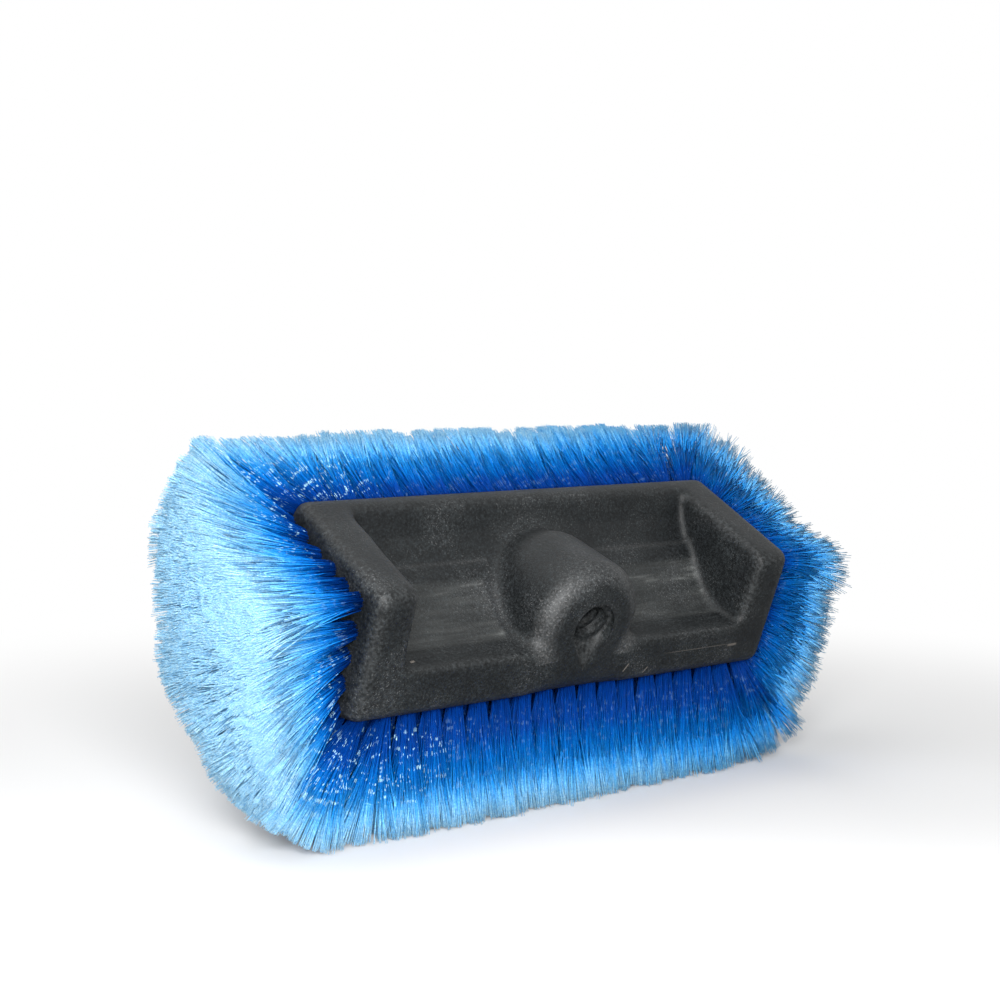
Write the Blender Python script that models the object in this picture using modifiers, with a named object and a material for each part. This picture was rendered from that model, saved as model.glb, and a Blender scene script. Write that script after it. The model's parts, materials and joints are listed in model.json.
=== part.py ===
"""A truck wash brush head, lying on its lower bristles and leaning back.

A moulded block has a tray in its back, between two end walls, and a domed boss with the handle's bore.
Rows of bristles stand on its other five sides. Sizes are in metres. The block's own axes are X along it,
Y away from the user and Z up its back, and an empty leans the whole brush back and sets it on the floor.
"""

import math

import bmesh
import bpy
from mathutils import Matrix, Vector

MM = 0.001

# The block's section
BLOCK_LENGTH = 256 * MM
BACK_HEIGHT = 104 * MM
RIDGE_OUT = 44 * MM
RIDGE_DROP = 9 * MM
MAIN_FACE_DEPTH = 26 * MM
SIDE_TILT = math.radians(25)
EDGE_RADIUS = 4.5 * MM

# The tray between the end walls. Its floor is measured from the plane through the top and bottom edges
END_WALL = 21 * MM
WALL_DRAFT = math.radians(3)
RIM_WIDTH = 10.2 * MM
LIP_WIDTH = 23.3 * MM
FLOOR_DEPTH = 2 * MM
FLOOR_TOP = 30 * MM
LEDGE_HEIGHT = 16 * MM
LEDGE_STEP = 1 * MM
LOW_FLOOR = -11 * MM
FLOOR_CURVE = -25 * MM
CURVE_RISE = 6 * MM
TRAY_CORNER = 4 * MM

# The boss and its bore for a threaded handle
BOSS_RADIUS = 31 * MM
BOSS_ROUNDING = 8 * MM
BOSS_PROUD = 0.5 * MM
BOSS_TILT = math.radians(45)
DOME_BACK = 38 * MM
BOSS_COVER = 7.5 * MM
MOUTH_HEIGHT = 22.8 * MM
BORE_RADIUS = 9.5 * MM
BORE_TILT = math.radians(62)
BORE_DEPTH = 34 * MM
MOUTH_RADIUS = 13 * MM
MOUTH_DEPTH = 7 * MM
RELIEF_START = 2.8 * MM
RELIEF_TILT = math.radians(84)
RELIEF_RADIUS = 12 * MM

# Bristles
TRIM_LENGTH = 54 * MM
TOP_TRIM_LENGTH = 50.5 * MM
LONGEST_BRISTLE = 62 * MM
ROW_PITCH = 13 * MM
TUFT_PITCH = 13.2 * MM
MAIN_ROW_MARGIN = 7.4 * MM
SIDE_ROW_FRONT_MARGIN = 8 * MM
SIDE_ROW_BACK_MARGIN = 7.7 * MM
ROW_END_MARGIN = 8.2 * MM
END_UPPER_INSET = 12.5 * MM
END_LOWER_INSET = 15 * MM
END_BACK_MARGIN = 6.5 * MM
FLAT_CUT = 0.5 * MM

# Each tuft is folded double, so that it comes out as two strands
STRAND_SIDES = 3
ROOT_RADIUS = 1.7 * MM
TIP_RADIUS = 2.6 * MM
ROOT_APART = 4 * MM
TIP_APART = 6.6 * MM
ROOT_SUNK = 1.2 * MM

# The strip of backing that each row is fused to, and its seat in the block
STRIP_WIDTH = 9 * MM
STRIP_THICK = 2.5 * MM
STRIP_GAP = 0.3 * MM

# How the rows fan out towards the block's corners
FAN_DEPTH = 30 * MM
FAN_END = 21 * MM
END_FAN_HEIGHT = 8 * MM
END_FAN_BACK = 5 * MM

ROUND_STEPS = 48


def section_corners():
    """The corners of the block's section, as (y, z), from the top edge round by the ridge."""
    half = BACK_HEIGHT / 2
    drop = MAIN_FACE_DEPTH * math.tan(SIDE_TILT)
    return {
        "top": Vector((0, half)),
        "ridge": Vector((-RIDGE_OUT, -RIDGE_DROP)),
        "bottom": Vector((0, -half)),
        "back_bottom": Vector((MAIN_FACE_DEPTH, drop - half)),
        "back_top": Vector((MAIN_FACE_DEPTH, half - drop)),
    }


def material(name, colour, roughness):
    made = bpy.data.materials.new(name)
    made.use_nodes = True
    shader = made.node_tree.nodes["Principled BSDF"]
    shader.inputs["Base Color"].default_value = (*colour, 1)
    shader.inputs["Roughness"].default_value = roughness
    shader.inputs["Metallic"].default_value = 0
    return made


def new_collection(name):
    made = bpy.data.collections.new(name)
    bpy.context.scene.collection.children.link(made)
    return made


def add_object(name, mesh, collection, parent):
    made = bpy.data.objects.new(name, mesh)
    collection.objects.link(made)
    made.parent = parent
    return made


def mesh_from(bm, name):
    mesh = bpy.data.meshes.new(name)
    bm.to_mesh(mesh)
    bm.free()
    return mesh


def prism_mesh(name, outline, half_length):
    """A (y, z) outline extruded along X, from a flat curve."""
    curve = bpy.data.curves.new(name, "CURVE")
    curve.dimensions = "2D"
    curve.fill_mode = "BOTH"
    curve.extrude = half_length
    spline = curve.splines.new("POLY")
    spline.points.add(len(outline) - 1)
    for point, (y, z) in zip(spline.points, outline):
        point.co = (y, z, 0, 1)
    spline.use_cyclic_u = True
    made = bpy.data.objects.new(name, curve)
    bpy.context.scene.collection.objects.link(made)
    graph = bpy.context.evaluated_depsgraph_get()
    mesh = bpy.data.meshes.new_from_object(made.evaluated_get(graph))
    bpy.data.objects.remove(made)
    bpy.data.curves.remove(curve)
    bm = bmesh.new()
    bm.from_mesh(mesh)
    bpy.data.meshes.remove(mesh)
    bmesh.ops.remove_doubles(bm, verts=bm.verts, dist=0.00001)
    # The curve lies in XY and is extruded along Z, so its axes turn to Y, Z and X.
    turn = Matrix(((0, 0, 1), (1, 0, 0), (0, 1, 0))).to_4x4()
    bmesh.ops.transform(bm, matrix=turn, verts=bm.verts)
    bmesh.ops.recalc_face_normals(bm, faces=bm.faces)
    return mesh_from(bm, name)


def add_bevel(target, radius, segments):
    bevel = target.modifiers.new("Rounded edges", "BEVEL")
    bevel.width = radius
    bevel.segments = segments
    bevel.limit_method = "ANGLE"
    bevel.angle_limit = math.radians(20)


def add_boolean(target, other, operation):
    boolean = target.modifiers.new(other.name, "BOOLEAN")
    boolean.operation = operation
    boolean.object = other
    boolean.solver = "EXACT"


def hide(helper):
    helper.hide_render = True
    helper.display_type = "WIRE"
    return helper


def outward(tilt):
    """The direction from the boss towards the user, this far below level."""
    return Vector((0, -math.cos(tilt), -math.sin(tilt)))


def bore_mouth():
    """The middle of the boss's end face, in the plane between the ridge and the bottom edge."""
    corners = section_corners()
    ridge, bottom = corners["ridge"], corners["bottom"]
    middle = bottom.lerp(ridge, MOUTH_HEIGHT / (ridge.y - bottom.y))
    return Vector((0, middle.x, middle.y))


def along(direction, start):
    """A matrix that turns +Z to the direction and puts the origin at the start."""
    up = Vector((0, 0, 1))
    side = (up - direction * up.dot(direction)).normalized()
    turn = Matrix((side.cross(direction), side, direction)).transposed().to_4x4()
    return Matrix.Translation(start) @ turn


def add_rod(bm, start, direction, length, radius, end_radius, sides):
    """A prism or a cone from a start point along a direction."""
    bmesh.ops.create_cone(
        bm, cap_ends=True, segments=sides, radius1=radius, radius2=end_radius, depth=length,
        matrix=along(direction, start) @ Matrix.Translation((0, 0, length / 2)),
    )


def make_helper(bm, name, helpers, base):
    return hide(add_object(name, mesh_from(bm, name), helpers, base))


def boss_mesh():
    """A turned boss on the axis of its end face: a dome, a straight side and a rounded front edge."""
    profile = [Vector((0, 0, BOSS_RADIUS))]
    for step in range(1, 9):
        angle = math.radians(90 * step / 8)
        profile.append(Vector((math.sin(angle), 0, math.cos(angle))) * BOSS_RADIUS)
    front = BOSS_ROUNDING - DOME_BACK
    for step in range(5):
        angle = math.radians(90 * step / 4)
        out = BOSS_RADIUS - BOSS_ROUNDING + BOSS_ROUNDING * math.cos(angle)
        profile.append(Vector((out, 0, front - BOSS_ROUNDING * math.sin(angle))))
    profile.append(Vector((0, 0, -DOME_BACK)))
    bm = bmesh.new()
    points = [bm.verts.new(point) for point in profile]
    for first, second in zip(points, points[1:]):
        bm.edges.new((first, second))
    return mesh_from(bm, "boss")


def make_boss(helpers, base):
    """The boss, cut off inside the block so that it doesn't reach through the main face."""
    boss = hide(add_object("boss", boss_mesh(), helpers, base))
    screw = boss.modifiers.new("Turned", "SCREW")
    screw.steps = screw.render_steps = ROUND_STEPS
    screw.use_merge_vertices = True
    screw.merge_threshold = 0.00001
    axis = outward(BOSS_TILT)
    boss.matrix_local = along(-axis, bore_mouth() - axis * (DOME_BACK - BOSS_PROUD))
    bm = bmesh.new()
    reach = 4 * BOSS_RADIUS
    back = MAIN_FACE_DEPTH - BOSS_COVER
    size = Matrix.Diagonal((reach, reach, reach, 1))
    bmesh.ops.create_cube(bm, size=1, matrix=Matrix.Translation((0, back - reach / 2, 0)) @ size)
    add_boolean(boss, make_helper(bm, "boss_limit", helpers, base), "INTERSECT")
    return boss


def make_tray_cutter(helpers, base):
    """The space between the end walls: its floor runs from the top rim to the lip, with one ledge."""
    corners = section_corners()
    top, ridge, bottom = corners["top"], corners["ridge"], corners["bottom"]
    rim = top + (ridge - top).normalized() * RIM_WIDTH
    lip = bottom + (ridge - bottom).normalized() * LIP_WIDTH
    floor = [
        Vector((0, FLOOR_TOP)),
        Vector((FLOOR_DEPTH, LEDGE_HEIGHT)),
        Vector((FLOOR_DEPTH - LEDGE_STEP, LEDGE_HEIGHT - 3 * LEDGE_STEP)),
        Vector((0, LOW_FLOOR)),
        Vector((-CURVE_RISE, FLOOR_CURVE)),
    ]
    past = 2 * RIDGE_OUT
    outer = [lip + Vector((-past, -past)), rim + Vector((-past, past))]
    half = BLOCK_LENGTH / 2 - END_WALL
    mesh = prism_mesh("tray_cutter", [rim, *floor, lip, *outer], half)
    for vertex in mesh.vertices:
        depth = max(vertex.co.y + RIDGE_OUT, 0)
        vertex.co.x -= math.copysign(depth * math.tan(WALL_DRAFT), vertex.co.x)
    cutter = hide(add_object("tray_cutter", mesh, helpers, base))
    add_bevel(cutter, TRAY_CORNER, 2)
    return cutter


def make_bore_cutters(helpers, base):
    """The handle's blind bore, with a wider mouth and a relief that runs down towards the lip."""
    mouth, axis = bore_mouth(), outward(BORE_TILT)
    past = 4 * MOUTH_RADIUS
    holes = (
        ("bore_cutter", BORE_DEPTH, BORE_RADIUS, axis),
        ("mouth_cutter", MOUTH_DEPTH, MOUTH_RADIUS, axis),
        ("relief_cutter", RELIEF_START, RELIEF_RADIUS, outward(RELIEF_TILT)),
    )
    cutters = []
    for name, depth, radius, direction in holes:
        bm = bmesh.new()
        add_rod(bm, mouth - axis * depth, direction, depth + past, radius, radius, ROUND_STEPS)
        cutters.append(make_helper(bm, name, helpers, base))
    return cutters


def add_box(bm, frame, length, width, thick):
    """A box that lies under a face: its frame has X along the row, Z out of the face."""
    size = Matrix.Diagonal((length, width, thick, 1))
    bmesh.ops.create_cube(bm, size=1, matrix=frame @ Matrix.Translation((0, 0, -thick / 2)) @ size)


def face_frame(middle, along_row, normal):
    across = normal.cross(along_row)
    turn = Matrix((along_row, across, normal)).transposed().to_4x4()
    return Matrix.Translation(middle) @ turn


def even_places(length, pitch):
    """Places spread evenly over a length and about a pitch apart, with one at each end."""
    count = max(2, round(length / pitch) + 1)
    return [length * (i / (count - 1) - 0.5) for i in range(count)]


def row_heights():
    """The heights of the rows on the main side, from the top. The rows on the ends lie level with them."""
    room = 2 * (section_corners()["back_top"].y - MAIN_ROW_MARGIN)
    return even_places(room, ROW_PITCH)[::-1]


def long_rows():
    """Name and section point of each row along the block, with the normal of its side."""
    corners = section_corners()
    rows = []
    for side, edge, back in (("top", "top", "back_top"), ("bottom", "bottom", "back_bottom")):
        width = (corners[back] - corners[edge]).length
        slope = (corners[back] - corners[edge]).normalized()
        normal = Vector((-slope.y, slope.x))
        if side == "bottom":
            normal = -normal
        room = width - SIDE_ROW_FRONT_MARGIN - SIDE_ROW_BACK_MARGIN
        for row, place in enumerate(even_places(room, ROW_PITCH)):
            point = corners[edge] + slope * (SIDE_ROW_FRONT_MARGIN + room / 2 + place)
            rows.append((f"bristles_{side}_{row + 1}", point, normal))
    for row, height in enumerate(row_heights()):
        rows.append((f"bristles_main_{row + 1}", Vector((MAIN_FACE_DEPTH, height)), Vector((1, 0))))
    return rows


def end_rows():
    """Name, middle and length of each row on the two ends, from inside the front edges to the back."""
    corners = section_corners()
    ridge = corners["ridge"]
    rows = []
    for side, sign in (("left", -1), ("right", 1)):
        for row, height in enumerate(row_heights()):
            upper = height > ridge.y
            edge = corners["top" if upper else "bottom"] - ridge
            inset = END_UPPER_INSET if upper else END_LOWER_INSET
            front = ridge.x + edge.x * (height - ridge.y) / edge.y
            low = front + inset * edge.length / abs(edge.y)
            high = MAIN_FACE_DEPTH - END_BACK_MARGIN
            middle = Vector((sign * BLOCK_LENGTH / 2, (low + high) / 2, height))
            rows.append((f"bristles_{side}_{row + 1}", middle, high - low, sign))
    return rows


def long_fan(root):
    """The way a bristle on a long side points: away from a flat core inside the block."""
    _, edge, normal = long_rows()[0]
    core = edge - normal * FAN_DEPTH
    reach = BLOCK_LENGTH / 2 - ROW_END_MARGIN - FAN_END
    near = Vector((
        max(-reach, min(reach, root.x)),
        core.x,
        max(-core.y, min(core.y, root.z)),
    ))
    return (root - near).normalized()


def end_fan(root):
    """The way a bristle on an end points: straight out in front, spreading up, down and back."""
    reach = BLOCK_LENGTH / 2 - FAN_DEPTH
    near = Vector((
        math.copysign(reach, root.x),
        min(root.y, END_FAN_BACK),
        max(-END_FAN_HEIGHT, min(END_FAN_HEIGHT, root.z)),
    ))
    return (root - near).normalized()


def trim_planes():
    """The planes that the bristles are trimmed to, as normals with distances from the block's middle."""
    half = BACK_HEIGHT / 2
    slant = Vector((0, math.sin(SIDE_TILT), math.cos(SIDE_TILT)))
    side = half * slant.z
    return [
        (slant, side + TOP_TRIM_LENGTH),
        (Vector((0, slant.y, -slant.z)), side + TRIM_LENGTH),
        (Vector((0, 1, 0)), MAIN_FACE_DEPTH + TRIM_LENGTH),
        (Vector((1, 0, 0)), BLOCK_LENGTH / 2 + TRIM_LENGTH),
        (Vector((-1, 0, 0)), BLOCK_LENGTH / 2 + TRIM_LENGTH),
    ]


def bristle_length(root, direction):
    """How far a bristle runs before it meets the trimming, with a little more on the flat-cut side."""
    longest = LONGEST_BRISTLE
    for normal, distance in trim_planes():
        slope = normal.dot(direction)
        if slope > 0.05:
            past = FLAT_CUT if normal.z < 0 else 0
            longest = min(longest, (distance + past - normal.dot(root)) / slope)
    return longest


def add_tuft(bm, root, along_row, direction):
    """One tuft, as two strands that spread a little along the row."""
    for sign in (-1, 1):
        foot = root + along_row * (sign * ROOT_APART / 2)
        tip = root + along_row * (sign * TIP_APART / 2) + direction * bristle_length(root, direction)
        run = (tip - foot).normalized()
        foot -= run * ROOT_SUNK
        add_rod(bm, foot, run, (tip - foot).length, ROOT_RADIUS, TIP_RADIUS, STRAND_SIDES)


def make_row(name, frame, length, fan, look, parts, helpers, base, floor):
    """A strip of backing with its tufts, all one solid."""
    along_row = frame.col[0].to_3d()
    middle = frame.translation
    strip = bmesh.new()
    add_box(strip, frame, length + STRIP_WIDTH, STRIP_WIDTH, STRIP_THICK)
    row = add_object(name, mesh_from(strip, name), parts, base)
    row.data.materials.append(look)
    tufts = bmesh.new()
    for place in even_places(length, TUFT_PITCH):
        root = middle + along_row * place
        add_tuft(tufts, root, along_row, fan(root))
    add_boolean(row, make_helper(tufts, name + "_strands", helpers, base), "UNION")
    add_boolean(row, floor, "DIFFERENCE")
    return row


def make_floor_cutter(helpers, base):
    """A box below the lower bristles, whose top is where they are cut flat."""
    normal, distance = trim_planes()[1]
    size = 4 * BLOCK_LENGTH
    bm = bmesh.new()
    middle = Matrix.Translation((0, 0, size / 2))
    bmesh.ops.create_cube(bm, size=size, matrix=along(normal, normal * distance) @ middle)
    return make_helper(bm, "floor_cutter", helpers, base)


def all_rows():
    """Every row as its name, face frame, length between the outer tufts, and fan."""
    rows = []
    along_block = Vector((1, 0, 0))
    for name, point, normal in long_rows():
        frame = face_frame(Vector((0, point.x, point.y)), along_block, Vector((0, normal.x, normal.y)))
        rows.append((name, frame, BLOCK_LENGTH - 2 * ROW_END_MARGIN, long_fan))
    for name, middle, length, sign in end_rows():
        frame = face_frame(middle, Vector((0, 1, 0)), Vector((sign, 0, 0)))
        rows.append((name, frame, length, end_fan))
    return rows


def make_seat_cutter(helpers, base):
    """The shallow seats of all the strips, with a clearance at their sides and under them."""
    bm = bmesh.new()
    for _, frame, length, _ in all_rows():
        raised = frame @ Matrix.Translation((0, 0, STRIP_THICK))
        add_box(
            bm, raised, length + STRIP_WIDTH + 2 * STRIP_GAP, STRIP_WIDTH + 2 * STRIP_GAP,
            2 * STRIP_THICK + STRIP_GAP,
        )
    return make_helper(bm, "seat_cutter", helpers, base)


def make_block(parts, helpers, base):
    corners = section_corners()
    outline = [corners[name] for name in ("top", "ridge", "bottom", "back_bottom", "back_top")]
    block = add_object("block", prism_mesh("block", outline, BLOCK_LENGTH / 2), parts, base)
    block.data.materials.append(material("Black plastic", (0.028, 0.029, 0.031), 0.55))
    add_bevel(block, EDGE_RADIUS, 3)
    add_boolean(block, make_tray_cutter(helpers, base), "DIFFERENCE")
    add_boolean(block, make_boss(helpers, base), "UNION")
    for cutter in make_bore_cutters(helpers, base):
        add_boolean(block, cutter, "DIFFERENCE")
    add_boolean(block, make_seat_cutter(helpers, base), "DIFFERENCE")
    return block


def rest_on_floor(parts, base):
    """Centres the brush over the origin, with its lowest point at height zero."""
    bpy.context.view_layer.update()
    graph = bpy.context.evaluated_depsgraph_get()
    points = []
    for made in parts.objects:
        if made.type != "MESH":
            continue
        mesh = made.evaluated_get(graph).data
        points += [made.matrix_world @ vertex.co for vertex in mesh.vertices]
    middle = [(min(p[i] for p in points) + max(p[i] for p in points)) / 2 for i in range(2)]
    base.location -= Vector((middle[0], middle[1], min(p.z for p in points)))


def main():
    for old in list(bpy.data.objects):
        bpy.data.objects.remove(old)
    parts, helpers = new_collection("truck_wash_brush"), new_collection("cutters")
    base = bpy.data.objects.new("brush_rest", None)
    parts.objects.link(base)
    # The lower side's bristles lie flat on the floor.
    base.rotation_euler.x = -SIDE_TILT
    make_block(parts, helpers, base)
    look = material("Blue bristle", (0.03, 0.22, 0.66), 0.35)
    floor = make_floor_cutter(helpers, base)
    for name, frame, length, fan in all_rows():
        make_row(name, frame, length, fan, look, parts, helpers, base, floor)
    rest_on_floor(parts, base)


main()
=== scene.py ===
import json
import math

import bmesh
import bpy
import numpy as np
from mathutils import Matrix, Vector
from mathutils.bvhtree import BVHTree


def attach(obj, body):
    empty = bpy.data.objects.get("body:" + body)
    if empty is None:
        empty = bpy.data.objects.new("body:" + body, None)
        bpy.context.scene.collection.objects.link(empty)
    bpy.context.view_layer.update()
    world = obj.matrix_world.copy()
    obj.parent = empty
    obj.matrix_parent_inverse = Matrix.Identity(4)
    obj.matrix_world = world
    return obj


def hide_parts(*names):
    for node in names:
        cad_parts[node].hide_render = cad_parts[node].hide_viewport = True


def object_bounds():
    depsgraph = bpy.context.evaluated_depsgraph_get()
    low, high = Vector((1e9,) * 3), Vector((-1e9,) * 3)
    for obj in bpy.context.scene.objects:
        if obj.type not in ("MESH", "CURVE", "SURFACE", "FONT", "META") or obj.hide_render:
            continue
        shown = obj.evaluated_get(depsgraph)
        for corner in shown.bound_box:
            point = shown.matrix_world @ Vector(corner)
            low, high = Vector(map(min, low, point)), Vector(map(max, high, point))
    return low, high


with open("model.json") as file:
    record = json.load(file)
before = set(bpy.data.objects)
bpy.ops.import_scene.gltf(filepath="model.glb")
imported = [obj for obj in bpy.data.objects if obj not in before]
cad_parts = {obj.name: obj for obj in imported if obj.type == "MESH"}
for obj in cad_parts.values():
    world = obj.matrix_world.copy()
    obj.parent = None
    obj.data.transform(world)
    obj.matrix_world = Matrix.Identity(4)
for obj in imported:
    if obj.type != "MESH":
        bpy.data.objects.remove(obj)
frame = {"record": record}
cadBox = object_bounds()
mm = 0.001

# The block's own axes are X along it, Y away from the user and Z up its back.
# Sizes are in millimetres, tilts and angles in degrees.
block = {
    "length": 256,
    "backHeight": 104,
    "ridgeOut": 44,
    "ridgeDrop": 9,
    "depth": 26,
    "sideTilt": 25,
    "edgeRadius": 5.5,
    "edgeSteps": 4,
    "sharpAngle": 20,
    "smoothAngle": 42,
    "endWall": 21,
    "wallDraft": 3,
    "rimWidth": 10.2,
    "lipWidth": 23.3,
    "trayFloor": [(0, 30), (2.4, 17), (0.2, 14.6), (0, -8), (-1.2, -15), (-4, -21.5), (-9, -28.5)],
    "trayCorner": 3.5,
    "panelTop": 8,
    "panelBottom": -26,
    "panelStart": 36,
    "panelRoom": 3,
    "panelDepth": 0.9,
    "panelCorner": 3,
    "panelFade": 2,
    "panelFront": -14,
    "panelBack": 5,
    "voxel": 1.15,
    "softening": 3,
    "filletReach": 15,
    "filletFull": 1.6,
    "filletSoftening": 200,
    "rimReach": 8,
    "rimFull": 1.8,
    "rimSoftening": 70,
    "wearReach": 10,
    "wearSmoothing": 2,
    # the painted sheen along the ledge: how far above it, how wide and how deep it lies, and its strength
    "crestUp": 1.6,
    "crestWidth": 1.5,
    "crestDepth": 4,
    "crestSheen": 0.5,
}
boss = {
    "radius": 31,
    "rounding": 10,
    "proud": 0.5,
    "tilt": 45,
    "domeBack": 38,
    "domeSteps": 16,
    "roundingSteps": 8,
    "stepsAround": 96,
    "cover": 7.5,
    "mouthHeight": 22.8,
    # the painted sheen round the boss's front edge
    "sheenWidth": 8,
    "sheenInset": 0.3,
    "sheenFull": 1.3,
    "sheenOnTop": 0.12,
    "sheenOnFlanks": 1.1,
    "sheenLowest": -40,
}
bore = {
    "radius": 9.2,
    "tilt": 62,
    "depth": 34,
    "stepsAround": 64,
    "mouthRadius": 12.3,
    "mouthTilt": 56,
    "mouthDepth": 4,
    "mouthChamfer": 1,
    "reliefEnd": 10,
    "threadStart": 2.0,
    "threadPitch": 5,
    "threadShape": (0.3, 0.5, 0.8),
    "threadDepth": 0.9,
    "threadRunOut": 1,
    "reach": 45,
}
half = block["backHeight"] / 2
blockEnd = block["length"] / 2
wallInside = blockEnd - block["endWall"]
panelEnd = wallInside - block["panelRoom"]
sideTilt = math.radians(block["sideTilt"])
drop = block["depth"] * math.tan(sideTilt)
top = Vector((0, half))
ridge = Vector((-block["ridgeOut"], -block["ridgeDrop"]))
bottom = Vector((0, -half))
backBottom = Vector((block["depth"], drop - half))
backTop = Vector((block["depth"], half - drop))
rimEdge = top + (ridge - top).normalized() * block["rimWidth"]
lipEdge = bottom + (ridge - bottom).normalized() * block["lipWidth"]


def outward(tilt):
    return Vector((0, -math.cos(math.radians(tilt)), -math.sin(math.radians(tilt))))


def boreMouth():
    middle = bottom.lerp(ridge, boss["mouthHeight"] / (ridge.y - bottom.y))
    return Vector((0, middle.x, middle.y))


# The brush leans back on its lower bristles. The record gives the inner end of the bore, and so its place.
lean = Matrix.Rotation(-sideTilt, 4, "X")
boreEnd = (boreMouth() - outward(bore["tilt"]) * bore["depth"]) * mm
borePlace = Vector(frame["record"]["mounts"][0]["pos_m"])
blockPlace = Matrix.Translation(borePlace - lean @ boreEnd) @ lean


def deselect():
    bpy.ops.object.select_all(action="DESELECT")


def pick(piece):
    deselect()
    piece.select_set(True)
    bpy.context.view_layer.objects.active = piece


def settle(piece):
    # the object goes to the origin, and its place into its mesh
    pick(piece)
    bpy.ops.object.transform_apply(location=True, rotation=True, scale=True)


def readVertices(mesh, what="co"):
    values = np.empty(3 * len(mesh.vertices))
    mesh.vertices.foreach_get(what, values)
    return values.reshape(-1, 3)


def writeAttribute(mesh, name, values):
    made = mesh.attributes.new(name, "FLOAT", "POINT")
    made.data.foreach_set("value", values.astype(np.float32))


def selectEdges(piece, test):
    # in edit mode: only the edges that pass the test stay selected
    mesh = bmesh.from_edit_mesh(piece.data)
    bpy.ops.mesh.select_all(action="DESELECT")
    for edge in mesh.edges:
        edge.select_set(test(edge))
    bmesh.update_edit_mesh(piece.data)


def roundSharpEdges(piece, radius):
    # in edit mode
    selectEdges(piece, lambda edge: edge.calc_face_angle(0) > math.radians(block["sharpAngle"]))
    bpy.ops.mesh.bevel(offset=radius * mm, segments=block["edgeSteps"], affect="EDGES")


def cutOff(place, normal):
    # in edit mode: what lies past the plane goes, and the cut is closed
    bpy.ops.mesh.select_all(action="SELECT")
    bpy.ops.mesh.bisect(plane_co=place, plane_no=normal, use_fill=True, clear_outer=True, clear_inner=False)


def drawOutline(name, outline, start):
    # a first point, and one extruded after it for each other point of the outline, in the plane across X
    deselect()
    bpy.ops.mesh.primitive_plane_add(size=mm, location=Vector((start, *outline[0])) * mm)
    piece = bpy.context.object
    piece.name = name
    bpy.ops.object.mode_set(mode="EDIT")
    bpy.ops.mesh.merge(type="CENTER")
    for here, there in zip(outline, outline[1:]):
        step = (0, (there[0] - here[0]) * mm, (there[1] - here[1]) * mm)
        bpy.ops.mesh.extrude_vertices_move(TRANSFORM_OT_translate={"value": step})
    return piece


def outlineSolid(name, outline, halfLength):
    piece = drawOutline(name, outline, -halfLength)
    bpy.ops.mesh.select_all(action="SELECT")
    bpy.ops.mesh.edge_face_add()
    bpy.ops.mesh.extrude_region_move(TRANSFORM_OT_translate={"value": (2 * halfLength * mm, 0, 0)})
    bpy.ops.mesh.select_all(action="SELECT")
    bpy.ops.mesh.normals_make_consistent(inside=False)
    return piece


def turnedSolid(name, profile, steps):
    # a profile in the plane across X, from pole to pole, spun round the Z axis
    piece = drawOutline(name, profile, 0)
    bpy.ops.mesh.select_all(action="SELECT")
    bpy.ops.mesh.spin(steps=steps, angle=math.tau, center=(0, 0, 0), axis=(0, 0, 1))
    bpy.ops.mesh.select_all(action="SELECT")
    bpy.ops.mesh.remove_doubles(threshold=0.01 * mm)
    bpy.ops.mesh.normals_make_consistent(inside=False)
    bpy.ops.object.mode_set(mode="OBJECT")
    settle(piece)
    return piece


def along(direction, start):
    # turns +Z to the direction and moves the origin to the start, both in the block's axes
    up = Vector((0, 0, 1))
    side = (up - direction * up.dot(direction)).normalized()
    turn = Matrix((side.cross(direction), side, direction)).transposed().to_4x4()
    return Matrix.Translation(start * mm) @ turn


def combine(piece, other, operation):
    pick(piece)
    bpy.ops.object.modifier_add(type="BOOLEAN")
    cut = piece.modifiers[-1]
    cut.operation = operation
    cut.object = other
    cut.solver = "EXACT"
    bpy.ops.object.modifier_apply(modifier=cut.name)
    bpy.data.objects.remove(other)


def makeBody():
    outline = [top, ridge, bottom, backBottom, backTop]
    body = outlineSolid("blockBody", outline, blockEnd)
    bpy.ops.mesh.bevel(offset=block["edgeRadius"] * mm, segments=block["edgeSteps"], affect="EDGES")
    bpy.ops.object.mode_set(mode="OBJECT")
    settle(body)
    return body


def makeTrayCutter():
    past = 2 * block["ridgeOut"]
    floor = map(Vector, block["trayFloor"])
    outline = [rimEdge, *floor, lipEdge, lipEdge + Vector((-past, -past)), rimEdge + Vector((-past, past))]
    cutter = outlineSolid("trayCutter", outline, wallInside + past)
    draft = math.radians(block["wallDraft"])
    for side in (-1, 1):  # the end walls lean by their draft
        place = (side * wallInside * mm, -block["ridgeOut"] * mm, 0)
        cutOff(place, (side * math.cos(draft), math.sin(draft), 0))
    roundSharpEdges(cutter, block["trayCorner"])
    bpy.ops.object.mode_set(mode="OBJECT")
    settle(cutter)
    return cutter


def makePanelCutter(side):
    # a shallow panel in the tray's floor, on one side of the boss
    level, *curve, last, lowest = (Vector(point) for point in block["trayFloor"][3:])
    deep = Vector((block["panelDepth"], 0))
    past = Vector((-block["ridgeOut"], 0))
    upper = Vector((0, block["panelTop"]))
    lower = last.lerp(lowest, (block["panelBottom"] - last.y) / (lowest.y - last.y))
    floor = [upper, level, *curve, last, lower]
    outline = [*(point + deep for point in floor), lower + past, upper + past]
    cutter = outlineSolid("panelCutter", outline, (panelEnd - block["panelStart"]) / 2)
    roundSharpEdges(cutter, block["panelCorner"])
    bpy.ops.object.mode_set(mode="OBJECT")
    cutter.location.x += side * (block["panelStart"] + panelEnd) / 2 * mm
    settle(cutter)
    return cutter


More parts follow.
